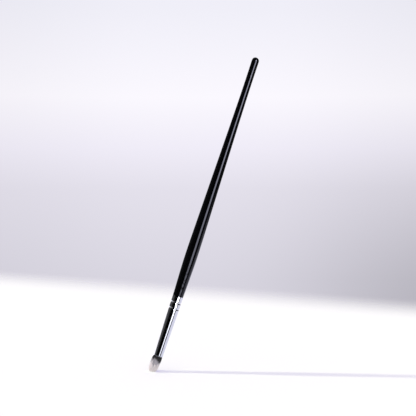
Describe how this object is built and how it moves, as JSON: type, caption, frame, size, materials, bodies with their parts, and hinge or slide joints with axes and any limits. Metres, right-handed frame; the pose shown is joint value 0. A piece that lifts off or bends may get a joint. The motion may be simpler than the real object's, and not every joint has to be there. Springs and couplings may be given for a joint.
{
  "type": "eyeshadow brush",
  "caption": "Slim eyeshadow brush: a short blunt tuft of dark-rooted pale hair in a tapered, crimped bright ferrule on a long tapering black lacquered wooden handle.",
  "frame": {"origin": "on the axis of the brush, where the shoulder of the handle meets the back rim of the ferrule, in the middle of a pencil grip", "axes": "+Z along the axis towards the end of the handle, so that the hair points down; the brush is round, so +X and +Y are any two square directions"},
  "size_m": [0.0066, 0.0066, 0.175],
  "materials": {
    "lacquered_wood": "black gloss lacquer, bare wood on the tenon",
    "bright_metal": "bright plated and polished",
    "hair": "soft hair, charcoal at the root and pale at the tip",
    "thread": "plain twisted thread",
    "hair_resin": "set resin, amber",
    "handle_glue": "set glue, cloudy"
  },
  "bodies": {
    "root": {"handle": "lacquered_wood", "handle_glue": "handle_glue", "ferrule": "bright_metal", "hair_glue": "hair_resin", "root_binding": "thread", "hair_tuft": "hair"}
  },
  "joints": []
}
